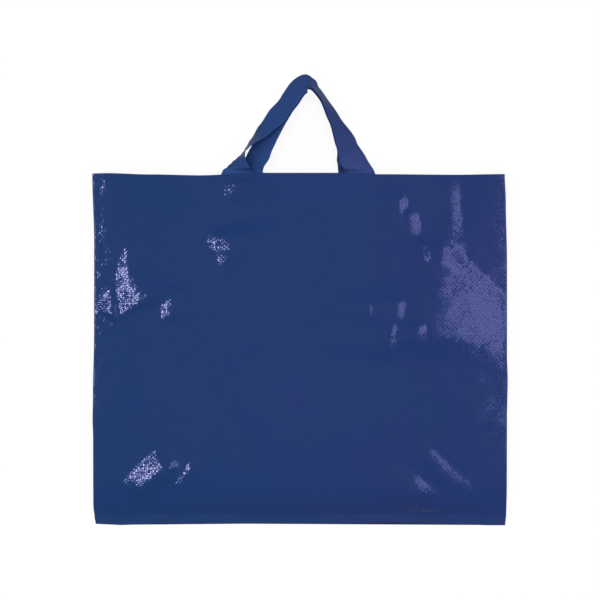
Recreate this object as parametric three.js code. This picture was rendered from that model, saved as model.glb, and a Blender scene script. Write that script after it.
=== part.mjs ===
// Laminated shopping bag, empty, lying on its back with both strap handles laid out past the mouth.
// Millimetres. X runs across the bag, Y from the bottom seam to the handles, +Z is up off the floor.
import * as THREE from 'three';

const { lerp, clamp, smoothstep } = THREE.MathUtils;

// Bag, sizes of the sheet as folded
const BAG_WIDTH = 500;
const BAG_HEIGHT = 424;
const GUSSET_FOLD = 80;
const SHEET_THICKNESS = 0.3;
const HEM_DEPTH = 35;
const SEAM_HEIGHT = 12;
const PRESSED_GAP = 0.3;

// Bag, how far it stands open as it lies
const FOLD_RADIUS = 1.5;
const LIP_LIFT = 13.4;
const CROWN_LIFT = 24;
const MOUTH_LIFT = 18;

// Front panel: lengths over which it rises out of the seam, how flat it is across in the middle and
// at the mouth, the pressed layers at the sides and in the middle, how far in from the gusset they
// step down, and the height over which the dips of the bottom edge fade out
const QUICK_RISE = 14;
const SLOW_RISE = 60;
const CROWN_POWER = 3.2;
const MOUTH_POWER = 5;
const SIDE_LAYERS = 4;
const MIDDLE_LAYERS = 2;
const LAYER_STEP = 20;
const BOTTOM_EASE = 36;

// Handles
const STRAP_WIDTH = 36;
const STRAP_THICKNESS = 0.9;
const HANDLE_RISE = 120;
const HANDLE_SPAN = 140;
const STRAP_TUCK = 28;
const STRAP_TURN = 10;
const STRAP_DROP = 30;
const FRONT_SLANT = 0.3;
const BACK_SLANT = 0.12;

// Clearances
const JOIN_CLEARANCE = 0.4;
const STRAP_CLEARANCE = 0.6;
const FLOOR_CLEARANCE = 0.15;
const MOUTH_CLEARANCE = 0.3;

// Steps of the surfaces
const FRONT_STEPS = 40;
const BACK_STEPS = 8;
const FOLD_STEPS = 4;
const HEIGHT_STEPS = 26;
const HEIGHT_EASE = 1.25;
const HEM_STEPS = 3;
const STRAP_STEPS = 3;

// Finish of the laminate
const LAMINATE_COLOUR = new THREE.Color().setRGB(0.0194, 0.0437, 0.1529, THREE.LinearSRGBColorSpace);
const LAMINATE_ROUGHNESS = 0.35;

// Values that follow from the sizes
const HALF_WIDTH = BAG_WIDTH / 2;
const HALF_SHEET = SHEET_THICKNESS / 2;
const BACK_LEVEL = HALF_SHEET;
const LAYER_PITCH = SHEET_THICKNESS + PRESSED_GAP;
const HEM_LINE = BAG_HEIGHT - HEM_DEPTH;
const HEM_OFFSET = HALF_SHEET + SHEET_THICKNESS;
const FRONT_BASE = MOUTH_LIFT - HEM_OFFSET - JOIN_CLEARANCE - STRAP_THICKNESS / 2;
const BACK_BASE = BACK_LEVEL + HEM_OFFSET + JOIN_CLEARANCE + STRAP_THICKNESS / 2;
const STRAP_NEST = STRAP_THICKNESS + STRAP_CLEARANCE;

// Share of the half width from which the folds fade out towards the side edges
const FOLDED_SHARE = 0.92;

// Folds of the front panel. The crest of each runs between two ends, given as shares of the half width
// and of the height. left and right are how far its flanks reach, as seen along the crest, height and
// rounding belong to the crest, all in millimetres. The fold has the share apex of its size at its start.
// comesIn and goesOut are the shares of its length over which it rises and falls, counted from each end,
// and slant leans these ends sideways.
const FOLDS = [
  // left side, the folds that meet in a star
  {
    from: [-0.836, 0.795], to: [-0.796, 0.606], left: 44, right: 24, height: 2.6,
    rounding: 3, apex: 0.05, slant: 0.72, comesIn: [0, 0.1], goesOut: [-0.02, 0.1],
  },
  {
    from: [-0.904, 0.578], to: [-0.676, 0.665], left: 25, right: 9, height: 5.9,
    rounding: 9, apex: 0, slant: 0, comesIn: [0, 0.1], goesOut: [-0.08, 0.1],
  },
  // left of the middle, under the handle
  {
    from: [-0.292, 0.703], to: [-0.336, 0.844], left: 30, right: 70, height: 6.4,
    rounding: 5, apex: 0.4, slant: 0, comesIn: [-0.1, 0.25], goesOut: [-0.1, 0.25],
  },
  // left side, above the lower corner
  {
    from: [-0.792, 0.04], to: [-0.552, 0.17], left: 26, right: 22, height: 8,
    rounding: 5, apex: 1, slant: 0, comesIn: [-0.05, 0.25], goesOut: [-0.05, 0.25],
  },
  // right side, the broad fold that widens downwards
  {
    from: [0.68, 0.953], to: [0.64, 0.42], left: 110, right: 75, height: 11.4,
    rounding: 7, apex: 0, slant: 0.1, comesIn: [0, 0.06], goesOut: [-0.1, 0.22],
  },
  // right side, the two folds above the lower corner
  {
    from: [0.432, 0.156], to: [0.728, 0.038], left: 20, right: 20, height: 7.8,
    rounding: 5, apex: 1, slant: 0, comesIn: [-0.1, 0.3], goesOut: [-0.1, 0.3],
  },
  {
    from: [0.56, 0.231], to: [0.824, 0.09], left: 14, right: 16, height: 4.5,
    rounding: 5, apex: 1, slant: 0, comesIn: [-0.1, 0.3], goesOut: [-0.1, 0.3],
  },
];

// Largest share of its size to which a fold grows past its end
const FOLD_OVERRUN = 1.3;

// How far each side edge stands in from a straight side, at shares of the height
const LEFT_EDGE = [[0, 2.8], [0.02, 1.2], [0.05, 0], [0.24, 0], [0.3, -0.6], [0.36, -0.2], [0.55, 1.3],
  [0.8, 1.4], [1, -0.9]];
const RIGHT_EDGE = [[0, 1.6], [0.03, 0.4], [0.1, 0], [0.3, 0], [0.41, -0.9], [0.48, 0], [0.75, 0],
  [0.92, 1.4], [1, 2.7]];

// How far the mouth edge and the bottom edge dip, at shares of the half width
const MOUTH_EDGE = [[-1, 0.6], [-0.94, 0.2], [-0.72, 1.9], [-0.48, 3], [-0.2, 0], [0.2, 0], [0.4, 1.7],
  [0.75, 2.3], [1, 1.3]];
const BOTTOM_EDGE = [[-1, 0.7], [-0.94, 0], [-0.87, 2], [-0.7, 0.2], [0.2, 0], [0.43, -0.8], [0.7, 0.2],
  [0.93, 2.3], [1, 2.3]];

// Route of each handle's middle line from the left end to the right end: place across as a share of
// half the span, height as a share of the rise, and the share of the strap's width that shows from
// above. The strap leans inwards where less than its full width shows.
const FRONT_ROUTE = [
  { across: -1.085, rise: 0.02, shows: 1 },
  { across: -1.06, rise: 0.06, shows: 0.8 },
  { across: -1.03, rise: 0.11, shows: 0.52 },
  { across: -1, rise: 0.16, shows: 0.25 },
  { across: -0.965, rise: 0.21, shows: 0.06 },
  { across: -0.9, rise: 0.26, shows: 0.1 },
  { across: -0.8, rise: 0.31, shows: 0.2 },
  { across: -0.6, rise: 0.43, shows: 0.46 },
  { across: -0.385, rise: 0.57, shows: 0.61 },
  { across: -0.18, rise: 0.745, shows: 0.6 },
  { across: -0.02, rise: 0.85, shows: 0.6 },
  { across: 0.1, rise: 0.89, shows: 0.56 },
  { across: 0.2, rise: 0.88, shows: 0.42 },
  { across: 0.28, rise: 0.83, shows: 0.26 },
  { across: 0.365, rise: 0.745, shows: 0.2 },
  { across: 0.56, rise: 0.55, shows: 0.38 },
  { across: 0.8, rise: 0.3, shows: 0.66 },
  { across: 0.935, rise: 0.12, shows: 0.92 },
  { across: 1.025, rise: 0.02, shows: 1 },
];
const BACK_ROUTE = [
  { across: -0.89, rise: 0.03, shows: 0.8 },
  { across: -0.825, rise: 0.1, shows: 0.66 },
  { across: -0.74, rise: 0.18, shows: 0.68 },
  { across: -0.635, rise: 0.28, shows: 0.68 },
  { across: -0.49, rise: 0.43, shows: 0.64 },
  { across: -0.365, rise: 0.56, shows: 0.62 },
  { across: -0.175, rise: 0.74, shows: 0.6 },
  { across: -0.02, rise: 0.842, shows: 0.6 },
  { across: 0.098, rise: 0.88, shows: 0.56 },
  { across: 0.196, rise: 0.871, shows: 0.42 },
  { across: 0.276, rise: 0.824, shows: 0.26 },
  { across: 0.361, rise: 0.74, shows: 0.2 },
  { across: 0.556, rise: 0.545, shows: 0.38 },
  { across: 0.78, rise: 0.3, shows: 0.66 },
  { across: 0.88, rise: 0.13, shows: 0.95 },
  { across: 0.915, rise: 0.03, shows: 1 },
];

// Value at a place in a list of [place, value], eased between the neighbours
function eased(list, place) {
  const after = clamp(list.findIndex(([at]) => at >= place), 1, list.length - 1);
  const [at0, value0] = list[after - 1];
  const [at1, value1] = list[after];
  return lerp(value0, value1, smoothstep(place, at0, at1));
}

// Height that one fold adds at a point of the panel: straight flanks on both sides of a rounded crest
function foldHeight({ from, to, left, right, height, rounding, apex, slant, comesIn, goesOut }, x, up) {
  const start = new THREE.Vector2(from[0] * HALF_WIDTH, from[1] * BAG_HEIGHT);
  const along = new THREE.Vector2(to[0] * HALF_WIDTH, to[1] * BAG_HEIGHT).sub(start);
  const offset = new THREE.Vector2(x, up).sub(start);
  const share = offset.dot(along) / along.lengthSq();
  const aside = along.cross(offset) / along.length();
  const size = lerp(apex, 1, clamp(share, 0, FOLD_OVERRUN));
  const away = Math.hypot(aside, rounding) - rounding;
  const rise = Math.max(0, size - away / (aside > 0 ? left : right));
  const place = share + (slant * aside) / along.length();
  return height * rise * smoothstep(place, ...comesIn) * smoothstep(1 - place, ...goesOut);
}

// How far the bag has opened above the bottom seam, from 0 to 1
function opened(up) {
  const above = Math.max(0, up - SEAM_HEIGHT);
  return 1 - (Math.exp(-above / QUICK_RISE) + Math.exp(-above / SLOW_RISE)) / 2;
}

// Height of the front lip of the gusset above the floor: the top one of the layers in the seam
function lipLevel(up) {
  return lerp(BACK_LEVEL + (SIDE_LAYERS - 1) * LAYER_PITCH, LIP_LIFT, opened(up));
}

// Height of the front panel's middle layer above the floor: in the seam it lies on the back panel,
// and on the gusset's layers at the sides
function panelLevel(x, up) {
  const across = Math.abs(x) / HALF_WIDTH;
  const innerFold = HALF_WIDTH - GUSSET_FOLD;
  const overGusset = smoothstep(Math.abs(x), innerFold - LAYER_STEP, innerFold);
  const layers = lerp(MIDDLE_LAYERS, SIDE_LAYERS, overGusset);
  const nearMouth = smoothstep(up, BAG_HEIGHT / 2, HEM_LINE);
  const crown = lerp(CROWN_LIFT, MOUTH_LIFT, nearMouth) - LIP_LIFT;
  const power = lerp(CROWN_POWER, MOUTH_POWER, nearMouth);
  const belowHem = 1 - smoothstep(up, HEM_LINE - HEM_DEPTH, HEM_LINE);
  const folded = (1 - smoothstep(across, FOLDED_SHARE, 1)) * belowHem;
  const folds = Math.max(...FOLDS.map((fold) => foldHeight(fold, x, up)));
  const open = LIP_LIFT + crown * (1 - across ** power) + folds * folded;
  return lerp(BACK_LEVEL + (layers - 1) * LAYER_PITCH, open, opened(up));
}

// Points of one gusset from the front lip, in to the inner fold and out to the back lip.
// inward is the direction from this side's edge to the middle of the bag.
function gusset(edge, inward, radius, lip) {
  const points = [];
  const outer = edge + inward * radius;
  const inner = edge + inward * GUSSET_FOLD;
  const middle = (lip + BACK_LEVEL) / 2;
  const fold = (centreX, centreZ, bulge, first, last) => {
    for (let i = first; i <= last; i += 1) {
      const angle = Math.PI * (i / FOLD_STEPS);
      const x = centreX + bulge * radius * Math.sin(angle);
      points.push(new THREE.Vector2(x, centreZ + radius * Math.cos(angle)));
    }
  };
  fold(outer, lip - radius, -inward, 1, FOLD_STEPS);
  points.push(new THREE.Vector2((outer + inner) / 2, (lip - radius + middle) / 2));
  fold(inner, middle, inward, 0, FOLD_STEPS);
  points.push(new THREE.Vector2((outer + inner) / 2, (middle + BACK_LEVEL + radius) / 2));
  fold(outer, BACK_LEVEL + radius, -inward, 0, FOLD_STEPS - 1);
  return points;
}

// Closed section of the sheet's middle layer at a height, as x and z: front panel from left to right,
// right gusset, back panel from right to left, left gusset
function section(up) {
  const left = -HALF_WIDTH + eased(LEFT_EDGE, up / BAG_HEIGHT);
  const right = HALF_WIDTH - eased(RIGHT_EDGE, up / BAG_HEIGHT);
  const radius = lerp(LAYER_PITCH / 2, FOLD_RADIUS, opened(up));
  const lip = lipLevel(up);
  const points = [];
  for (let i = 0; i <= FRONT_STEPS; i += 1) {
    const x = lerp(left + radius, right - radius, i / FRONT_STEPS);
    const atLip = i === 0 || i === FRONT_STEPS;
    points.push(new THREE.Vector2(x, atLip ? lip : panelLevel(x, up)));
  }
  points.push(...gusset(right, -1, radius, lip));
  for (let i = 0; i <= BACK_STEPS; i += 1) {
    points.push(new THREE.Vector2(lerp(right - radius, left + radius, i / BACK_STEPS), BACK_LEVEL));
  }
  points.push(...gusset(left, 1, radius, lip).reverse());
  return points;
}

// The section moved off the sheet's middle layer by a distance, towards the outside of the bag
function offsetSection(up, distance) {
  const points = section(up);
  return points.map((point, i) => {
    const before = points[(i + points.length - 1) % points.length];
    const after = points[(i + 1) % points.length];
    const along = after.clone().sub(before).normalize();
    return new THREE.Vector2(point.x - along.y * distance, point.y + along.x * distance);
  });
}

// The same section in space, with the mouth edge and the bottom edge dipped
function ringAt(up, distance) {
  const nearMouth = smoothstep(up, HEM_LINE - HEM_DEPTH, BAG_HEIGHT);
  const nearBottom = 1 - smoothstep(up, 0, BOTTOM_EASE);
  return offsetSection(up, distance).map((point) => {
    const share = clamp(point.x / HALF_WIDTH, -1, 1);
    const dip = eased(MOUTH_EDGE, share) * nearMouth + eased(BOTTOM_EDGE, share) * nearBottom;
    return new THREE.Vector3(point.x, up - dip, point.y);
  });
}

// Collects the points and faces of a solid
class Solid {
  constructor() {
    this.positions = [];
    this.indices = [];
  }

  ring(points) {
    const first = this.positions.length / 3;
    for (const point of points) {
      this.positions.push(...point.toArray());
    }
    return points.map((_, i) => first + i);
  }

  quad(a, b, c, d) {
    this.indices.push(a, b, c, a, c, d);
  }

  // Joins closed rings that follow each other
  skin(rings) {
    for (let r = 1; r < rings.length; r += 1) {
      const [low, high] = [rings[r - 1], rings[r]];
      for (let i = 0; i < low.length; i += 1) {
        const j = (i + 1) % low.length;
        this.quad(low[i], low[j], high[j], high[i]);
      }
    }
  }

  mesh(name, material) {
    const geometry = new THREE.BufferGeometry();
    geometry.setAttribute('position', new THREE.Float32BufferAttribute(this.positions, 3));
    geometry.setIndex(this.indices);
    geometry.computeVertexNormals();
    const mesh = new THREE.Mesh(geometry, material);
    mesh.name = name;
    return mesh;
  }
}

// Heights of the bag's sections from the seam to the hem line, close together above the seam
function bodyHeights() {
  const heights = [];
  for (let i = 0; i <= HEIGHT_STEPS; i += 1) {
    heights.push(lerp(SEAM_HEIGHT, HEM_LINE, (i / HEIGHT_STEPS) ** HEIGHT_EASE));
  }
  return heights;
}

// The bag: outside from the bottom edge up, over the mouth and down the inside, with the hem as a
// second layer, to the top of the seam, where the layers are joined into one strip
function bagBody(material) {
  const solid = new Solid();
  const plain = bodyHeights();
  const hem = [];
  for (let i = 1; i <= HEM_STEPS; i += 1) {
    hem.push(lerp(HEM_LINE, BAG_HEIGHT, i / HEM_STEPS));
  }
  const outside = [0, ...plain, ...hem].map((up) => solid.ring(ringAt(up, HALF_SHEET)));
  const hemInside = [HEM_LINE, ...hem].map((up) => solid.ring(ringAt(up, -HEM_OFFSET)));
  const plainInside = plain.map((up) => solid.ring(ringAt(up, -HALF_SHEET)));
  const rings = [...outside, ...hemInside.reverse(), ...plainInside.reverse()];
  solid.skin(rings);
  const cap = (ring, up, distance, turned) => {
    for (const [a, b, c] of THREE.ShapeUtils.triangulateShape(offsetSection(up, distance), [])) {
      solid.indices.push(ring[a], ring[turned ? c : b], ring[turned ? b : c]);
    }
  };
  cap(rings[0], 0, HALF_SHEET, false);
  cap(rings[rings.length - 1], SEAM_HEIGHT, -HALF_SHEET, true);
  return solid.mesh('bag_body', material);
}

// Middle line of a strap as samples: place in plan, and the share of the width that shows from above.
// The tucked ends spread apart by slant, sideways over lengthways.
function strapSamples(route, slant) {
  const laid = route.map(({ across, rise, shows }) => ({
    place: new THREE.Vector3((across * HANDLE_SPAN) / 2, BAG_HEIGHT + rise * HANDLE_RISE, 0),
    shows,
  }));
  const tucked = ({ place, shows }) => [-STRAP_TUCK, -STRAP_TUCK / 2, 0].map((past) => {
    const x = place.x + Math.sign(place.x) * slant * (place.y - BAG_HEIGHT - past);
    return { place: new THREE.Vector3(x, BAG_HEIGHT + past, 0), shows: past < 0 ? 1 : shows };
  });
  const rows = [...tucked(laid[0]), ...laid, ...tucked(laid[laid.length - 1]).reverse()];
  const curve = new THREE.CatmullRomCurve3(rows.map(({ place }) => place), false, 'centripetal');
  const count = (rows.length - 1) * STRAP_STEPS;
  const samples = [];
  for (let k = 0; k <= count; k += 1) {
    const span = Math.min(rows.length - 2, Math.floor(k / STRAP_STEPS));
    const part = smoothstep(k / STRAP_STEPS - span, 0, 1);
    const shows = lerp(rows[span].shows, rows[span + 1].shows, part);
    samples.push({ place: curve.getPoint(k / count), heading: curve.getTangent(k / count), shows });
  }
  return samples;
}

// A strap from its tucked left end to its tucked right end. Its outer edge comes down to the floor and
// its inner edge leans in, under the front panel as far as the mouth and freely past it. lift moves
// the strap off the one that it lies on.
function strap(name, { route, slant, base, lift }, material) {
  const solid = new Solid();
  const lowest = FLOOR_CLEARANCE + STRAP_THICKNESS / 2 + lift;
  const rows = strapSamples(route, slant).map(({ place, heading, shows }) => {
    const past = place.y - BAG_HEIGHT;
    const innerPast = past - (heading.x * STRAP_WIDTH) / 2 - MOUTH_CLEARANCE;
    const free = smoothstep(innerPast, 0, STRAP_TURN);
    const floorLevel = lerp(BACK_BASE + lift, lowest, free);
    const outerEdge = lerp(base, floorLevel, smoothstep(past, -STRAP_TUCK / 2, STRAP_DROP));
    const wanted = Math.sqrt(1 - shows ** 2);
    const room = Math.min(wanted, (FRONT_BASE - outerEdge) / STRAP_WIDTH);
    const lean = lerp(room, wanted, free);
    const shown = Math.sqrt(1 - lean ** 2);
    return {
      middle: new THREE.Vector3(place.x, place.y, outerEdge + (STRAP_WIDTH / 2) * lean),
      across: new THREE.Vector3(heading.y * shown, -heading.x * shown, lean),
      nested: lift * smoothstep(past, STRAP_DROP, STRAP_DROP + STRAP_TURN),
    };
  });
  const corners = [[-1, 1], [0, 1], [1, 1], [1, -1], [0, -1], [-1, -1]];
  const rings = rows.map(({ middle, across, nested }, k) => {
    const before = rows[Math.max(0, k - 1)].middle;
    const after = rows[Math.min(rows.length - 1, k + 1)].middle;
    const out = new THREE.Vector3().crossVectors(across, after.clone().sub(before)).normalize();
    return solid.ring(corners.map(([side, face]) => middle.clone()
      .addScaledVector(across, (side * STRAP_WIDTH) / 2)
      .addScaledVector(out, (face * STRAP_THICKNESS) / 2 + nested)));
  });
  solid.skin(rings);
  const end = ([a, b, c, d, e, f]) => {
    solid.quad(a, f, e, b);
    solid.quad(b, e, d, c);
  };
  const [a, b, c, d, e, f] = rings[rings.length - 1];
  end(rings[0]);
  end([c, b, a, f, e, d]);
  return solid.mesh(name, material);
}

const laminate = new THREE.MeshStandardMaterial({ color: LAMINATE_COLOUR, roughness: LAMINATE_ROUGHNESS });
laminate.name = 'laminate';

const frontStrap = { route: FRONT_ROUTE, slant: FRONT_SLANT, base: FRONT_BASE, lift: STRAP_NEST };
const backStrap = { route: BACK_ROUTE, slant: BACK_SLANT, base: BACK_BASE, lift: 0 };

const bag = new THREE.Group();
bag.name = 'laminated_shopping_bag';
bag.add(bagBody(laminate));
bag.add(strap('front_handle', frontStrap, laminate));
bag.add(strap('back_handle', backStrap, laminate));

// The origin is on the floor, under the middle of the whole part
const middle = new THREE.Box3().setFromObject(bag).getCenter(new THREE.Vector3());
for (const mesh of bag.children) {
  mesh.geometry.translate(-middle.x, -middle.y, 0);
}

export default bag;
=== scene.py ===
"""Looks of the laminated shopping bag: folded sheet, two straps, floor, lamps and camera."""

import math
from dataclasses import dataclass

import bpy
import numpy as np
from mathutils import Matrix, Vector


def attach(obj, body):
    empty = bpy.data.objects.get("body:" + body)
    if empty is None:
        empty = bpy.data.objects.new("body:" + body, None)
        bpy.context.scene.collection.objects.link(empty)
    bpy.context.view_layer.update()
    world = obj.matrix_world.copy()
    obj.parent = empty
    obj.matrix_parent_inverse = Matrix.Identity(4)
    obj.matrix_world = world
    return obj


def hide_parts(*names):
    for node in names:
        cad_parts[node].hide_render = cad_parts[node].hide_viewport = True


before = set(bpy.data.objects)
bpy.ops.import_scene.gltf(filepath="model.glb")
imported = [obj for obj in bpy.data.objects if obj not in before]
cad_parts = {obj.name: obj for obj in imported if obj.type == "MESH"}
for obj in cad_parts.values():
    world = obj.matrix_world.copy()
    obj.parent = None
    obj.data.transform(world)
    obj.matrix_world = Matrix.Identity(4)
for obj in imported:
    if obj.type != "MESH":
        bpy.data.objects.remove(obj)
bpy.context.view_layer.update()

# Metres in a millimetre: sizes are in millimetres unless a comment says otherwise
MM = 0.001

# Bag, sizes of the sheet as folded
BAG_WIDTH = 500.0
BAG_HEIGHT = 424.0
GUSSET_FOLD = 80.0
SHEET_THICKNESS = 0.3
HEM_DEPTH = 35.0
SEAM_HEIGHT = 12.0
PRESSED_GAP = 0.3

# Bag, how far it stands open as it lies
FOLD_RADIUS = 1.5
LIP_LIFT = 13.4
CROWN_LIFT = 24.0
MOUTH_LIFT = 18.0

# Front panel: lengths over which it rises out of the seam, and how flat it is across
QUICK_RISE = 14.0
SLOW_RISE = 60.0
CROWN_POWER = 2.3
MOUTH_POWER = 5.0

# Bottom seam: pressed layers at the sides and in the middle, length of the step between them
SIDE_LAYERS = 4
MIDDLE_LAYERS = 2
LAYER_STEP = 20.0

# Height over which the dips of the bottom edge fade out
BOTTOM_EASE = 36.0

# Handles
STRAP_WIDTH = 36.0
STRAP_THICKNESS = 0.9
HANDLE_RISE = 120.0
HANDLE_SPAN = 140.0
STRAP_TUCK = 28.0

# Handles as they lie: lengths to clear the mouth and to come down, largest lean, slant of the ends
STRAP_TURN = 6.0
STRAP_DROP = 30.0
STRAP_STAND = 0.66
FRONT_SLANT = 0.3
BACK_SLANT = 0.12

# Clearances
JOIN_CLEARANCE = 0.4
STRAP_CLEARANCE = 0.6
FLOOR_CLEARANCE = 0.15
MOUTH_CLEARANCE = 0.3

# Height up the bag at which the middle of the whole part lies
MIDDLE_UP = 269.99

# Steps of the surfaces
FRONT_STEPS = 208
BACK_STEPS = 20
LEG_STEPS = 6
FOLD_STEPS = 6
HEIGHT_STEPS = 132
HEM_STEPS = 12
SEAM_STEPS = 4
STRAP_STEPS = 10
STRAP_ACROSS = 12
EDGE_STEPS = 4

# Share of the front panel's width that the first step at each lip takes
LIP_SHARE = 0.0008

# Angle in degrees past which an edge stays sharp
SHARP_ANGLE = 50.0

# Width of one tape of the weave
TAPE_PITCH = 2.52

# Values that follow from the sizes
HALF_WIDTH = BAG_WIDTH / 2
HALF_SHEET = SHEET_THICKNESS / 2
BACK_LEVEL = HALF_SHEET
LAYER_PITCH = SHEET_THICKNESS + PRESSED_GAP
HEM_LINE = BAG_HEIGHT - HEM_DEPTH
HEM_OFFSET = HALF_SHEET + SHEET_THICKNESS
FRONT_BASE = MOUTH_LIFT - HEM_OFFSET - JOIN_CLEARANCE - STRAP_THICKNESS / 2
BACK_BASE = BACK_LEVEL + HEM_OFFSET + JOIN_CLEARANCE + STRAP_THICKNESS / 2
STRAP_NEST = STRAP_THICKNESS + STRAP_CLEARANCE

# Share of the half width from which the folds fade out towards the side edges
CREASED_SHARE = 0.983

# Length below the mouth edge over which the folds come to an end
MOUTH_FADE = 10.0

# Share of its length up to which a fold that runs on past its end goes on growing
FOLD_OVERRUN = 1.3


@dataclass
class Fold:
    """A crease that stands out of the panel, with its crest from start to end, across and up the bag.

    left and right are how far its flanks reach, as seen along the crest. height and rounding belong to
    the crest, and apex is the share of its size at the start. comes_in counts shares of its length from
    the start, and goes_out from the end: where the fold begins, where it is whole, and how far both
    slant with the distance to the side.
    """
    start: tuple
    end: tuple
    left: float
    right: float
    height: float
    rounding: float = 4.0
    apex: float = 1.0
    comes_in: tuple = (-0.1, 0.3, 0)
    goes_out: tuple = (-0.1, 0.3, 0)


# Broad folds: the highest of them counts at each point of the panel
BROAD_FOLDS = [
    # Left side, the two folds that meet in a star
    Fold((-209, 340), (-199, 257), left=44, right=24, height=3.5, rounding=2.5, apex=0.1,
         comes_in=(0, 0.1, 0.72), goes_out=(0.08, 0.2, 0.72)),
    Fold((-226, 245), (-150, 294), left=110, right=16, height=8.8, rounding=2, apex=0,
         comes_in=(0, 0.1, 0), goes_out=(0.03, 0.5, 0.2)),
    # Left of the middle, below the handles
    Fold((-73, 298), (-84, 358), left=30, right=70, height=6.4, rounding=5, apex=0.4,
         comes_in=(-0.2, 0.45, 0), goes_out=(-0.1, 0.25, 0)),
    # Above the lower left corner
    Fold((-204, 28), (-148, 79), left=24, right=13, height=7.4, rounding=3,
         comes_in=(-0.05, 0.25, 0), goes_out=(-0.05, 0.25, 0)),
    # Right side, the broad fold that widens downwards and runs on past its end
    Fold((164, 354), (160, 296), left=63, right=46, height=6.2, rounding=11, apex=0,
         comes_in=(0, 0.3, 0), goes_out=(-1.85, -1.1, 0)),
    # Above the lower right corner
    Fold((92, 64), (182, 3), left=20, right=20, height=7.6, rounding=6,
         comes_in=(0, 0.5, 0), goes_out=(-0.1, 0.1, 0)),
    Fold((140, 90), (206, 30), left=12, right=16, height=2.4,
         comes_in=(-0.1, 0.2, 0), goes_out=(-0.1, 0.2, 0)),
]

# Fine folds: the highest of them is added to the broad folds
FINE_FOLDS = [
    # Left side, on both sides of the star
    Fold((-227, 286), (-225, 246), left=6, right=34, height=3.7, rounding=1.5, apex=0,
         comes_in=(0, 0.1, 0), goes_out=(-0.02, 0.12, -0.5)),
    Fold((-153, 287), (-152, 244), left=28, right=14, height=2.3, rounding=2.5,
         comes_in=(-0.05, 0.15, 0), goes_out=(-0.05, 0.2, 0)),
    # Left of the middle
    Fold((-116, 326), (-70, 333), left=4, right=4, height=0.5, rounding=1),
    # Above the lower left corner
    Fold((-150, 40), (-120, 76), left=10, right=14, height=3.2, rounding=2),
    # Along the left edge
    Fold((-233, 424), (-233, 394), left=20, right=6, height=0.5, rounding=2),
    Fold((-233, 386), (-234, 344), left=20, right=6, height=0.3, rounding=2),
    # Below the left end of the front strap
    Fold((-72, 420), (-76, 386), left=40, right=15, height=2.7,
         comes_in=(0, 0.2, 0), goes_out=(0, 0.4, 0)),
    # Right side, from the mouth down to the broad fold
    Fold((116, 402), (121, 354), left=12, right=40, height=2.9, rounding=2),
    Fold((127, 384), (131, 340), left=15, right=24, height=2.6, rounding=3),
    Fold((140, 350), (150, 306), left=15, right=50, height=4.6, rounding=3,
         comes_in=(0, 0.35, 0), goes_out=(0, 0.35, 0)),
    Fold((176, 424), (182, 330), left=14, right=24, height=1.75, rounding=3),
    Fold((173, 350), (168, 304), left=28, right=40, height=2.4, rounding=3),
    # Left of the broad fold
    Fold((116, 277), (110, 240), left=12, right=60, height=3.6, rounding=3),
    Fold((109, 250), (103, 198), left=14, right=100, height=4.9, rounding=3),
    Fold((82, 275), (80, 244), left=16, right=40, height=3.6, rounding=3),
    Fold((138, 246), (138, 212), left=12, right=40, height=3.2, rounding=3),
    # Along the right edge
    Fold((214, 152), (212, 116), left=34, right=30, height=0.7, rounding=5),
]

# Slight waves of the panel: wave length across, wave length up, shift and height
WAVES = [(31, 74, 0.0, 0.05), (-47, 38, 1.0, 0.06), (23, -52, 2.2, 0.03), (90, 21, 4.0, 0.03)]

# How far each side edge stands in from a straight side, at shares of the height
LEFT_EDGE = [(0, 2.8), (0.02, 1.2), (0.05, 0), (0.24, 0), (0.3, -0.6), (0.36, -0.2), (0.55, 1.3),
             (0.8, 1.4), (1, -0.9)]
RIGHT_EDGE = [(0, 1.6), (0.03, 0.4), (0.1, 0), (0.3, 0), (0.41, -0.9), (0.48, 0), (0.75, 0),
              (0.92, 1.4), (1, 2.7)]

# How far the mouth edge and the bottom edge dip, at shares of the half width
MOUTH_EDGE = [(-1, 0.6), (-0.94, 0.2), (-0.72, 1.9), (-0.48, 3), (-0.2, 0), (0.2, 0), (0.4, 1.7),
              (0.75, 2.3), (1, 1.3)]
BOTTOM_EDGE = [(-1, 0.7), (-0.94, 0), (-0.87, 2), (-0.7, 0.2), (0.2, 0), (0.43, -0.8), (0.7, 0.2),
               (0.93, 2.3), (1, 2.3)]

# Routes of the straps: place in half spans, height in rises, share of the width that shows from above
FRONT_ROUTE = [
    (-1.085, 0.02, 0.94), (-1.06, 0.06, 0.73), (-1.035, 0.1, 0.53), (-1.01, 0.14, 0.32),
    (-0.985, 0.18, 0.14), (-0.955, 0.22, 0.06), (-0.9, 0.26, 0.1), (-0.8, 0.31, 0.2), (-0.6, 0.43, 0.46),
    (-0.385, 0.57, 0.64), (-0.236, 0.678, 0.57), (-0.155, 0.745, 0.6), (-0.02, 0.855, 0.6),
    (0.1, 0.902, 0.58), (0.185, 0.893, 0.36), (0.268, 0.84, 0.2), (0.39, 0.745, 0.19),
    (0.575, 0.55, 0.35), (0.795, 0.3, 0.65), (0.925, 0.12, 0.9), (1.025, 0.02, 1.0),
]
BACK_ROUTE = [
    (-0.865, 0.03, 0.86), (-0.785, 0.1, 0.74), (-0.71, 0.18, 0.75), (-0.63, 0.28, 0.69),
    (-0.49, 0.43, 0.64), (-0.37, 0.56, 0.64), (-0.232, 0.672, 0.57), (-0.151, 0.739, 0.6),
    (-0.02, 0.847, 0.6), (0.098, 0.892, 0.58), (0.181, 0.884, 0.36), (0.264, 0.834, 0.2),
    (0.386, 0.74, 0.19), (0.571, 0.545, 0.35), (0.775, 0.3, 0.65), (0.88, 0.13, 0.95), (0.915, 0.03, 1),
]

# Weave, across and up the bag: slopes at the ends of a tape on top, and how far a crossing is askew
DIVE_SLOPES = (0.05, 0.14)
ASKEW_SLOPES = (0.02, 0.06)

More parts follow.
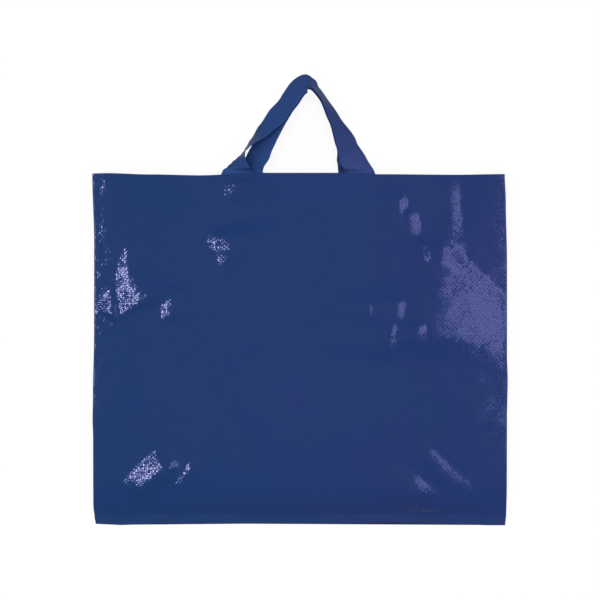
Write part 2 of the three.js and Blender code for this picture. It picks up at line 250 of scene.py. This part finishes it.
# Laminate: clouds in the tone, its change in each metre across the bag, and the shade between tapes
CLOUD_SCALE = 0.012
CLOUD_DETAIL = 3.0
TONE_ACROSS = 1.3
GROOVE_SHADE = 0.06

# Laminate: colours in linear values, and gloss
LAMINATE_COOL = (0.0105, 0.0478, 0.1600)
LAMINATE_WARM = (0.0205, 0.0405, 0.1660)
LAMINATE_ROUGHNESS = 0.12
LAMINATE_GLOSS = 0.5
GLOSS_TINT = (0.60, 0.58, 1.0)

# Film of the straps: streaks, their width and length in tapes, and their height
STREAK_WIDTH = 0.8
STREAK_LENGTH = 14.0
STREAK_HEIGHT = 0.12
STREAK_DETAIL = 2.0

# Film of the straps: tone across the bag, colours in linear values, and gloss. Both colours are partly the
# film's own lighter blue and partly painted light: they are made lighter still to make up for the shade on
# the leaning straps.
STRAP_TONE_ACROSS = 9.0
STRAP_TONE_SHIFT = -0.3
STRAP_COOL = (0.0330, 0.0790, 0.2540)
STRAP_WARM = (0.0500, 0.0700, 0.2300)
STRAP_ROUGHNESS = 0.4
STRAP_GLOSS = 0.02

# Lamps: place and side lengths in metres, radiance, colour, and whether the gloss shows it
WHITE = (1.0, 1.0, 1.0)
LILAC = (0.78, 0.76, 1.0)
FILL_SIDES = (2.4, 2.4)
LAMPS = {
    "lamp_left": ((-2.35, 0.2, 4.5), (0.55, 0.55), 32.0, WHITE, True),
    "lamp_right": ((2.25, 0.2, 4.5), (2.6, 1.0), 4.3, LILAC, True),
    "fill_over": ((0.0, 0.0, 4.0), FILL_SIDES, 4.0, WHITE, False),
    "fill_top": ((0.0, 3.3, 2.3), FILL_SIDES, 1.0, WHITE, False),
    "fill_low": ((0.0, -3.3, 2.3), FILL_SIDES, 1.0, WHITE, False),
    "fill_left": ((-3.3, 0.0, 2.3), FILL_SIDES, 1.0, WHITE, False),
    "fill_right": ((3.3, 0.0, 2.3), FILL_SIDES, 0.8, WHITE, False),
}
WORLD_LEVEL = 0.12

# Floor: its own colour, the light that makes it show white, and in metres its size and gap to the bag
FLOOR_COLOUR = 0.15
FLOOR_GLOW = 0.87
FLOOR_SIZE = 24.0
FLOOR_GAP = 0.0004

# Camera: lens and sensor, and in metres the width of the view at the side lips and its middle
LENS = 200.0
SENSOR = 36.0
VIEW_WIDTH = 0.7246
VIEW_MIDDLE = 0.00055


def lerp(low, high, share):
    """Value between two others, at a share of the way."""
    return low + (high - low) * share


def smoothstep(value, low, high):
    """Share from 0 at low to 1 at high, eased at both ends."""
    share = np.clip((value - low) / (high - low), 0.0, 1.0)
    return share * share * (3.0 - 2.0 * share)


def eased(rows, place):
    """Value at a place in a list of (place, value), eased between the neighbours."""
    places, values = np.array(rows, float).T
    after = np.clip(np.searchsorted(places, place), 1, len(places) - 1)
    return lerp(values[after - 1], values[after], smoothstep(place, places[after - 1], places[after]))


def lengths_along(points):
    """Length from the first of a row of points to each of them."""
    return np.concatenate([[0], np.cumsum(np.linalg.norm(np.diff(points, axis=0), axis=1))])


def fold_height(fold, x, up):
    """Height that one fold adds at points of the panel."""
    across, along = fold.end[0] - fold.start[0], fold.end[1] - fold.start[1]
    length = math.hypot(across, along)
    share = ((x - fold.start[0]) * across + (up - fold.start[1]) * along) / length ** 2
    aside = ((up - fold.start[1]) * across - (x - fold.start[0]) * along) / length
    size = lerp(fold.apex, 1.0, np.clip(share, 0.0, FOLD_OVERRUN))
    away = np.sqrt(aside ** 2 + fold.rounding ** 2) - fold.rounding
    rise = np.maximum(0.0, size - away / np.where(aside > 0, fold.left, fold.right))
    first, full, slant = fold.comes_in
    comes_in = smoothstep(share + slant * aside / length, first, full)
    last, full, slant = fold.goes_out
    goes_out = smoothstep(1 - share - slant * aside / length, last, full)
    return fold.height * rise * comes_in * goes_out


def highest(folds, x, up):
    """Height of the highest of several folds at points of the panel."""
    return np.max([fold_height(fold, x, up) for fold in folds], axis=0)


def wave_height(x, up):
    """Height of the slight waves at points of the panel."""
    total = 0.0
    for wide, high, shift, height in WAVES:
        total = total + height * np.sin(math.tau * (x / wide + up / high) + shift)
    return total


def opened(up):
    """How far the bag has opened above the bottom seam, from 0 to 1."""
    above = np.maximum(0, up - SEAM_HEIGHT)
    return 1 - (np.exp(-above / QUICK_RISE) + np.exp(-above / SLOW_RISE)) / 2


def lip_level(up):
    """Height of the gusset's front lip above the floor."""
    return lerp(BACK_LEVEL + (SIDE_LAYERS - 1) * LAYER_PITCH, LIP_LIFT, opened(up))


def panel_level(x, up, across):
    """Height of the front panel's middle layer. across runs from 0 in the middle to 1 at the side edges."""
    inner_fold = HALF_WIDTH - GUSSET_FOLD
    over_gusset = smoothstep(np.abs(x), inner_fold - LAYER_STEP, inner_fold)
    layers = lerp(MIDDLE_LAYERS, SIDE_LAYERS, over_gusset)
    near_mouth = smoothstep(up, BAG_HEIGHT / 2, HEM_LINE)
    crown = lerp(CROWN_LIFT, MOUTH_LIFT, near_mouth) - LIP_LIFT
    power = lerp(CROWN_POWER, MOUTH_POWER, near_mouth)
    folds = highest(BROAD_FOLDS, x, up) + highest(FINE_FOLDS, x, up)
    folds *= 1 - smoothstep(up, BAG_HEIGHT - MOUTH_FADE, BAG_HEIGHT)
    waves = wave_height(x, up) * (1 - smoothstep(up, HEM_LINE - HEM_DEPTH, HEM_LINE))
    creased = 1 - smoothstep(across, CREASED_SHARE, 1)
    level = LIP_LIFT + crown * (1 - across ** power) + (folds + waves) * creased
    return lerp(BACK_LEVEL + (layers - 1) * LAYER_PITCH, level, opened(up))


def gusset(edge, inward, radius, lip):
    """Points of one gusset, column by column, from the front lip in to the fold and out to the back lip."""
    columns = []
    outer = edge + inward * radius
    inner = edge + inward * GUSSET_FOLD
    middle = (lip + BACK_LEVEL) / 2

    def fold(centre_x, centre_z, bulge, first, last):
        for step in range(first, last + 1):
            angle = math.pi * step / FOLD_STEPS
            aside = bulge * radius * math.sin(angle)
            columns.append((centre_x + aside, centre_z + radius * math.cos(angle)))

    def leg(z_start, z_end, x_start, x_end):
        for step in range(1, LEG_STEPS):
            share = step / LEG_STEPS
            columns.append((lerp(x_start, x_end, share), lerp(z_start, z_end, share)))

    fold(outer, lip - radius, -inward, 1, FOLD_STEPS)
    leg(lip - 2 * radius, middle + radius, outer, inner)
    fold(inner, middle, inward, 0, FOLD_STEPS)
    leg(middle - radius, BACK_LEVEL + 2 * radius, inner, outer)
    fold(outer, BACK_LEVEL + radius, -inward, 0, FOLD_STEPS - 1)
    return columns


def sections(up):
    """Closed sections of the sheet's middle layer at several heights, as x and z of each point."""
    left = -HALF_WIDTH + eased(LEFT_EDGE, up / BAG_HEIGHT)
    right = HALF_WIDTH - eased(RIGHT_EDGE, up / BAG_HEIGHT)
    radius = lerp(LAYER_PITCH / 2, FOLD_RADIUS, opened(up))
    lip = lip_level(up)
    share = np.concatenate([[0], np.linspace(LIP_SHARE, 1 - LIP_SHARE, FRONT_STEPS + 1), [1]])
    front_x = lerp((left + radius)[:, None], (right - radius)[:, None], share)
    across = np.broadcast_to(np.abs(2 * share - 1), front_x.shape)
    front_z = panel_level(front_x, up[:, None], across)
    front_z[:, 0] = lip
    front_z[:, -1] = lip
    back_x = lerp((right - radius)[:, None], (left + radius)[:, None], np.linspace(0, 1, BACK_STEPS + 1))
    back_z = np.full_like(back_x, BACK_LEVEL)
    right_x, right_z = np.array(gusset(right, -1, radius, lip)).transpose(1, 2, 0)
    left_x, left_z = np.array(gusset(left, 1, radius, lip)[::-1]).transpose(1, 2, 0)
    x = np.concatenate([front_x, right_x, back_x, left_x], axis=1)
    z = np.concatenate([front_z, right_z, back_z, left_z], axis=1)
    return x, z


def rings(up, distance):
    """The sections in space, moved off the middle layer by a distance towards the outside."""
    up = np.asarray(up, float)
    x, z = sections(up)
    along_x = np.roll(x, -1, axis=1) - np.roll(x, 1, axis=1)
    along_z = np.roll(z, -1, axis=1) - np.roll(z, 1, axis=1)
    length = np.hypot(along_x, along_z)
    x = x - along_z / length * distance
    z = z + along_x / length * distance
    near_mouth = smoothstep(up, HEM_LINE - HEM_DEPTH, BAG_HEIGHT)[:, None]
    near_bottom = (1 - smoothstep(up, 0, BOTTOM_EASE))[:, None]
    share = np.clip(x / HALF_WIDTH, -1, 1)
    dip = eased(MOUTH_EDGE, share) * near_mouth + eased(BOTTOM_EDGE, share) * near_bottom
    return np.stack([x, up[:, None] - dip - MIDDLE_UP, z], axis=2)


def closed_tube(ring_count, ring_size):
    """Quads that join closed rings which follow each other, and a face over each end."""
    faces = []
    for row in range(ring_count - 1):
        low = row * ring_size
        high = low + ring_size
        for column in range(ring_size):
            after = (column + 1) % ring_size
            faces.append((low + column, low + after, high + after, high + column))
    faces.append(tuple(reversed(range(ring_size))))
    faces.append(tuple(range((ring_count - 1) * ring_size, ring_count * ring_size)))
    return faces


def make_piece(name, points, across, along):
    """A smooth closed tube through rings of points in millimetres, with the weave's place at each point."""
    count, size = points.shape[:2]
    mesh = bpy.data.meshes.new(name)
    mesh.from_pydata((points.reshape(-1, 3) * MM).tolist(), [], closed_tube(count, size))
    tapes = np.stack(np.broadcast_arrays(across[None, :], along[:, None]), axis=2).reshape(-1, 2)
    layer = mesh.uv_layers.new(name="tapes")
    corners = np.zeros(len(mesh.loops), int)
    mesh.loops.foreach_get("vertex_index", corners)
    layer.data.foreach_set("uv", (tapes / TAPE_PITCH)[corners].ravel())
    mesh.polygons.foreach_set("use_smooth", [True] * len(mesh.polygons))
    mesh.set_sharp_from_angle(angle=math.radians(SHARP_ANGLE))
    mesh.validate()
    piece = bpy.data.objects.new(name, mesh)
    bpy.context.scene.collection.objects.link(piece)
    return piece


def make_bag():
    """The bag's sheet: outside, over the mouth, the hem's inside and the inside down to the seam."""
    seam = np.linspace(0, SEAM_HEIGHT, SEAM_STEPS + 1)
    plain = lerp(SEAM_HEIGHT, HEM_LINE, np.linspace(0, 1, HEIGHT_STEPS + 1))
    hem = np.linspace(HEM_LINE, BAG_HEIGHT, HEM_STEPS + 1)
    outside = np.concatenate([seam, plain[1:], hem[1:]])
    layers = [(outside, HALF_SHEET), (hem[::-1], -HEM_OFFSET), (plain[::-1], -HALF_SHEET)]
    points = np.concatenate([rings(up, distance) for up, distance in layers])
    heights = np.concatenate([up for up, _ in layers])
    middle = rings([BAG_HEIGHT / 2], 0)[0]
    return make_piece("bag_sheet", points, lengths_along(middle), heights)


def smooth_curve(points, steps):
    """Points and headings along a centripetal Catmull-Rom curve, with steps between each two points."""
    first = 2 * points[0] - points[1]
    last = 2 * points[-1] - points[-2]
    padded = np.vstack([first, points, last])
    places, headings = [], []
    count = len(points) - 1
    for k in range(count * steps + 1):
        span = min(count - 1, k // steps)
        share = k / steps - span
        p0, p1, p2, p3 = padded[span:span + 4]
        d0, d1, d2 = [math.sqrt(math.dist(a, b)) for a, b in ((p0, p1), (p1, p2), (p2, p3))]
        leave = ((p1 - p0) / d0 - (p2 - p0) / (d0 + d1) + (p2 - p1) / d1) * d1
        arrive = ((p2 - p1) / d1 - (p3 - p1) / (d1 + d2) + (p3 - p2) / d2) * d1
        square = -3 * p1 + 3 * p2 - 2 * leave - arrive
        cube = 2 * p1 - 2 * p2 + leave + arrive
        places.append(p1 + leave * share + square * share ** 2 + cube * share ** 3)
        heading = leave + 2 * square * share + 3 * cube * share ** 2
        headings.append(heading / np.linalg.norm(heading))
    return np.array(places), np.array(headings)


def strap_samples(route, slant):
    """A strap's middle line in plan, its heading, and the share of its width that shows from above."""
    half_span = HANDLE_SPAN / 2
    laid = [(across * half_span, BAG_HEIGHT + rise * HANDLE_RISE, shows) for across, rise, shows in route]

    def tucked(row):
        x, y, shows = row
        ends = []
        for past in (-STRAP_TUCK, -STRAP_TUCK / 2, 0):
            spread = math.copysign(slant * (y - BAG_HEIGHT - past), x)
            ends.append((x + spread, BAG_HEIGHT + past, 1 if past < 0 else shows))
        return ends

    rows = np.array(tucked(laid[0]) + laid + tucked(laid[-1])[::-1])
    places, headings = smooth_curve(rows[:, :2], STRAP_STEPS)
    at = np.arange(len(places)) / STRAP_STEPS
    span = np.minimum(len(rows) - 2, at.astype(int))
    shows = lerp(rows[span, 2], rows[span + 1, 2], smoothstep(at - span, 0, 1))
    return places, headings, shows


def strap_outline():
    """Section of a strap: place across its width, and distance off its middle layer."""
    half = STRAP_THICKNESS / 2
    flat = STRAP_WIDTH / 2 - half
    outline = []
    for side in (1, -1):
        outline += [(side * place, side * half) for place in np.linspace(-flat, flat, STRAP_ACROSS + 1)]
        for step in range(1, EDGE_STEPS):
            angle = math.pi * step / EDGE_STEPS
            outline.append((side * (flat + half * math.sin(angle)), side * half * math.cos(angle)))
    return np.array(outline)


def make_strap(name, route, slant, base, lift):
    """A strap from its tucked left end to its tucked right end, and its length in millimetres."""
    places, headings, shows = strap_samples(route, slant)
    past = places[:, 1] - BAG_HEIGHT
    sideways = headings[:, 0] * smoothstep(past, 0, STRAP_DROP)
    onwards = np.copysign(np.sqrt(1 - sideways ** 2), headings[:, 1])

    # The outer edge comes down from the join inside the mouth to the floor
    inner_past = past - sideways * STRAP_WIDTH / 2 - MOUTH_CLEARANCE
    free = smoothstep(inner_past, 0, STRAP_TURN)
    lowest = FLOOR_CLEARANCE + STRAP_THICKNESS / 2 + lift
    floor_level = lerp(BACK_BASE + lift, lowest, free)
    outer_edge = lerp(base, floor_level, smoothstep(past, -STRAP_TUCK / 2, STRAP_DROP))

    # The inner edge stands higher, inside the mouth only as far as there is room
    wanted = np.minimum(np.sqrt(1 - shows ** 2), STRAP_STAND)
    room = np.minimum(wanted, (FRONT_BASE - outer_edge) / STRAP_WIDTH)
    lean = lerp(room, wanted, free)
    shown = np.minimum(np.sqrt(1 - lean ** 2), lerp(1, shows, free))
    middle = np.column_stack([places, outer_edge + STRAP_WIDTH / 2 * lean])
    across = np.column_stack([onwards * shown, -sideways * shown, lean])

    # Past the mouth, the front strap is moved out over the back strap
    nested = lift * smoothstep(past, STRAP_DROP, STRAP_DROP + STRAP_TURN)
    out = np.cross(across, np.gradient(middle, axis=0))
    out /= np.linalg.norm(out, axis=1)[:, None]
    outline = strap_outline()
    points = (middle[:, None, :] + across[:, None, :] * outline[None, :, :1]
              + out[:, None, :] * (outline[None, :, 1:] + nested[:, None, None]))
    points[:, :, 1] -= MIDDLE_UP
    lengths = lengths_along(middle)
    return make_piece(name, points, outline[:, 0], lengths), float(lengths[-1])


class Graph:
    """Nodes of one material or world."""

    def __init__(self, owner):
        owner.use_nodes = True
        self.tree = owner.node_tree
        self.tree.nodes.clear()

    def node(self, kind, inputs=(), **settings):
        """A new node, with its inputs linked or set."""
        made = self.tree.nodes.new(kind)
        for key, value in settings.items():
            setattr(made, key, value)
        for key, value in dict(inputs).items():
            if isinstance(value, bpy.types.NodeSocket):
                self.tree.links.new(value, made.inputs[key])
            else:
                made.inputs[key].default_value = value
        return made

    def value_of(self, operation, *values):
        """Result of a calculation with numbers."""
        made = self.node("ShaderNodeMath", dict(enumerate(values)), operation=operation)
        return made.outputs[0]

    def vector_of(self, operation, *values):
        """Result of a calculation with vectors."""
        made = self.node("ShaderNodeVectorMath", dict(enumerate(values)), operation=operation)
        return made.outputs[0]

    def centred(self, shares):
        """A vector of shares from 0 to 1, made to run from -1 to 1."""
        return self.vector_of("MULTIPLY_ADD", shares, (2, 2, 2), (-1, -1, -1))

    def across_of(self, vector):
        """The part of a vector that runs across the bag."""
        return self.node("ShaderNodeSeparateXYZ", {"Vector": vector}).outputs["X"]

    def place_across(self):
        """Place across the bag in metres."""
        return self.across_of(self.node("ShaderNodeTexCoord").outputs["Object"])

    def tapes(self):
        """Place across and up the weave, in tapes."""
        return self.node("ShaderNodeUVMap", uv_map="tapes").outputs["UV"]

    def blend(self, share, cool, warm):
        """A colour between two close blues, from the mix node's colour inputs 6 and 7 and its output 2."""
        mix = self.node("ShaderNodeMix", {"Factor": share}, data_type="RGBA")
        mix.inputs[6].default_value = (*cool, 1)
        mix.inputs[7].default_value = (*warm, 1)
        return mix.outputs[2]


def make_laminate():
    """Film over a plain weave: at each crossing the tape on top dives under its neighbours."""
    material = bpy.data.materials.new("laminate")
    graph = Graph(material)
    place = graph.tapes()

    # Slope along the tape that is on top at a crossing
    offset = graph.centred(graph.vector_of("FRACTION", place))
    across = graph.node("ShaderNodeTexChecker", {"Vector": place, "Scale": 1.0}).outputs["Fac"]
    upwards = graph.value_of("SUBTRACT", 1.0, across)
    way = graph.node("ShaderNodeCombineXYZ", {"X": across, "Y": upwards}).outputs[0]
    dive = graph.vector_of("MULTIPLY", offset, way)

    # Slope by which each crossing lies askew
    cell = graph.vector_of("FLOOR", place)
    chance = graph.node("ShaderNodeTexWhiteNoise", {"Vector": cell}, noise_dimensions="2D").outputs["Color"]
    askew = graph.vector_of("MULTIPLY", graph.centred(chance), (*ASKEW_SLOPES, 0))

    # Both slopes as a normal, in the coding of a normal map
    slopes = graph.vector_of("MULTIPLY_ADD", dive, (*DIVE_SLOPES, 0), askew)
    normal = graph.vector_of("MULTIPLY_ADD", slopes, (0.5, 0.5, 0.5), (0.5, 0.5, 1))
    weave = graph.node("ShaderNodeNormalMap", {"Color": normal}, uv_map="tapes")

    # Tone, with clouds and with a shade between the tapes
    cloud_inputs = {"Vector": place, "Scale": CLOUD_SCALE, "Detail": CLOUD_DETAIL}
    clouds = graph.node("ShaderNodeTexNoise", cloud_inputs)
    share = graph.value_of("MULTIPLY_ADD", graph.place_across(), TONE_ACROSS, clouds.outputs["Fac"])
    tone = graph.blend(share, LAMINATE_COOL, LAMINATE_WARM)
    ribs = graph.across_of(graph.vector_of("MULTIPLY", offset, offset))
    groove = graph.value_of("MULTIPLY_ADD", ribs, -GROOVE_SHADE, 1.0)
    shade = graph.node("ShaderNodeVectorMath", {0: tone, "Scale": groove}, operation="SCALE")
    surface = graph.node("ShaderNodeBsdfPrincipled", {
        "Base Color": shade.outputs[0],
        "Roughness": LAMINATE_ROUGHNESS,
        "Specular IOR Level": LAMINATE_GLOSS,
        "Specular Tint": (*GLOSS_TINT, 1),
        "Normal": weave.outputs["Normal"],
    })
    graph.node("ShaderNodeOutputMaterial", {"Surface": surface.outputs[0]})
    return material


def make_strap_film():
    """Plain film of the straps: long streaks from the pull along the strap, and little gloss."""
    material = bpy.data.materials.new("strap_film")
    graph = Graph(material)
    drawn = graph.vector_of("DIVIDE", graph.tapes(), (STREAK_WIDTH, STREAK_LENGTH, 1))
    noise = graph.node("ShaderNodeTexNoise", {"Vector": drawn, "Scale": 1.0, "Detail": STREAK_DETAIL})
    streaks = noise.outputs["Fac"]
    share = graph.value_of("MULTIPLY_ADD", graph.place_across(), STRAP_TONE_ACROSS, STRAP_TONE_SHIFT)
    share = graph.value_of("ADD", share, streaks)
    height = graph.value_of("MULTIPLY", streaks, STREAK_HEIGHT)
    bump = graph.node("ShaderNodeBump", {"Height": height, "Distance": MM, "Strength": 1.0})
    # Base colour: the film's blue, lightened as painted light against the shade that falls on the leaning
    # straps
    surface = graph.node("ShaderNodeBsdfPrincipled", {
        "Base Color": graph.blend(share, STRAP_COOL, STRAP_WARM),
        "Roughness": STRAP_ROUGHNESS,
        "Specular IOR Level": STRAP_GLOSS,
        "Specular Tint": (*GLOSS_TINT, 1),
        "Normal": bump.outputs["Normal"],
    })
    graph.node("ShaderNodeOutputMaterial", {"Surface": surface.outputs[0]})
    return material


def make_lamp(name, place, sides, radiance, colour, in_gloss):
    """A rectangular lamp that points at the frame's origin."""
    data = bpy.data.lights.new(name, "AREA")
    data.shape = "RECTANGLE"
    data.size, data.size_y = sides
    data.color = colour
    data.energy = radiance * math.pi * sides[0] * sides[1]
    lamp = bpy.data.objects.new(name, data)
    bpy.context.scene.collection.objects.link(lamp)
    lamp.location = place
    lamp.visible_glossy = in_gloss
    lamp.rotation_mode = "QUATERNION"
    lamp.rotation_quaternion = (-Vector(place)).to_track_quat("-Z", "Y")


def make_world():
    """Weak, even light from all round."""
    world = bpy.data.worlds.new("studio")
    graph = Graph(world)
    light = graph.node("ShaderNodeBackground", {"Color": (*WHITE, 1), "Strength": WORLD_LEVEL})
    graph.node("ShaderNodeOutputWorld", {"Surface": light.outputs[0]})
    bpy.context.scene.world = world


def make_floor():
    """A floor that keeps the shadow and shows white to the camera and in reflections."""
    material = bpy.data.materials.new("floor")
    graph = Graph(material)
    paths = graph.node("ShaderNodeLightPath").outputs
    seen = graph.value_of("MAXIMUM", paths["Is Camera Ray"], paths["Is Glossy Ray"])
    seen = graph.value_of("MAXIMUM", seen, paths["Is Transmission Ray"])
    matt = graph.node("ShaderNodeBsdfDiffuse", {"Color": (FLOOR_COLOUR, FLOOR_COLOUR, FLOOR_COLOUR, 1)})
    glow = graph.node("ShaderNodeEmission", {"Strength": graph.value_of("MULTIPLY", seen, FLOOR_GLOW)})
    both = graph.node("ShaderNodeAddShader", {0: matt.outputs[0], 1: glow.outputs[0]})
    graph.node("ShaderNodeOutputMaterial", {"Surface": both.outputs[0]})
    half = FLOOR_SIZE / 2
    mesh = bpy.data.meshes.new("floor")
    corners = [(-half, -half), (half, -half), (half, half), (-half, half)]
    mesh.from_pydata([(x, y, -FLOOR_GAP) for x, y in corners], [], [(0, 1, 2, 3)])
    mesh.materials.append(material)
    floor = bpy.data.objects.new("floor", mesh)
    bpy.context.scene.collection.objects.link(floor)


def make_camera():
    """A camera straight above the bag."""
    data = bpy.data.cameras.new("camera")
    data.lens = LENS
    data.sensor_width = SENSOR
    camera = bpy.data.objects.new("camera", data)
    bpy.context.scene.collection.objects.link(camera)
    camera.location = (0, VIEW_MIDDLE, LIP_LIFT * MM + VIEW_WIDTH / SENSOR * LENS)
    bpy.context.scene.camera = camera


make_camera()
make_world()
make_floor()
for lamp_name, lamp_values in LAMPS.items():
    make_lamp(lamp_name, *lamp_values)
bpy.context.scene.view_settings.view_transform = "Standard"

bag = make_bag()
bag.data.materials.append(make_laminate())
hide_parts("bag_body")

straps = {
    "front_handle": ("front_strap", FRONT_ROUTE, FRONT_SLANT, FRONT_BASE, STRAP_NEST),
    "back_handle": ("back_strap", BACK_ROUTE, BACK_SLANT, BACK_BASE, 0.0),
}
strap_film = make_strap_film()
pieces = [bag]
for node, (strap_name, *shape) in straps.items():
    strap, strap_length = make_strap(strap_name, *shape)
    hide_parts(node)
    strap.data.materials.append(strap_film)
    pieces.append(strap)

for piece in pieces:
    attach(piece, "root")
